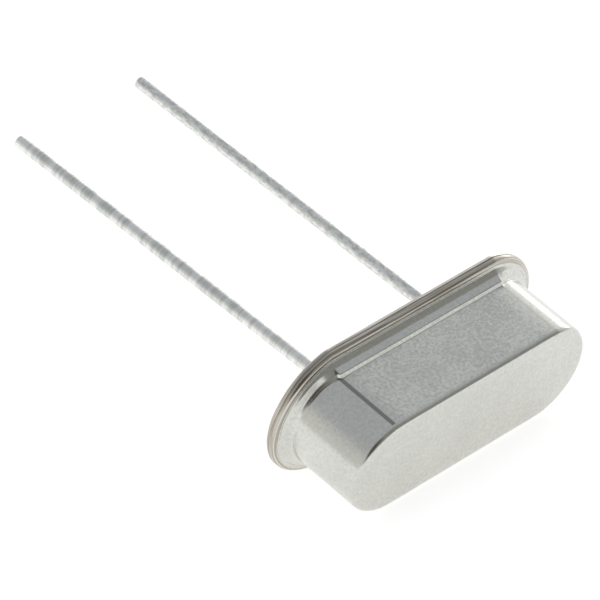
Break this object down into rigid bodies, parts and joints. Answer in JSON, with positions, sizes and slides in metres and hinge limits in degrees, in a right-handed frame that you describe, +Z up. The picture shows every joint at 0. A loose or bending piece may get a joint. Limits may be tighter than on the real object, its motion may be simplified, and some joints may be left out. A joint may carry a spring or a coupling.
{
  "type": "crystal oscillator",
  "caption": "Low-profile quartz crystal unit: a flat-sided metal can with arched ends, welded at its rim to a stamped header, with straight wire leads through glass seals.",
  "frame": {"origin": "on the surface that the unit lies on, under the middle of its extent along Y", "axes": "+Y along the leads, towards their free ends; X along the can; +Z up from the surface; the can's flat end faces -Y, turned down by the rest tilt"},
  "size_m": [0.011, 0.0179, 0.0053],
  "materials": {
    "can_plating": "nickel plating over drawn steel, satin with a fine mottle",
    "header_plating": "nickel plating over stamped steel, browned at the welded rim",
    "lead_tin": "dull tinned wire with a hammered skin",
    "seal_glass": "dark fused glass",
    "clip_metal": "bent spring strip",
    "quartz": "lapped quartz",
    "electrode_film": "evaporated silver film",
    "adhesive": "silver-filled epoxy"
  },
  "bodies": {
    "root": {"can": "can_plating", "header": "header_plating", "lead_left": "lead_tin", "lead_right": "lead_tin", "glass_seal_left": "seal_glass", "glass_seal_right": "seal_glass", "clip_left": "clip_metal", "clip_right": "clip_metal", "quartz_blank": "quartz", "electrode_upper": "electrode_film", "electrode_lower": "electrode_film", "adhesive_left": "adhesive", "adhesive_right": "adhesive"}
  },
  "joints": []
}
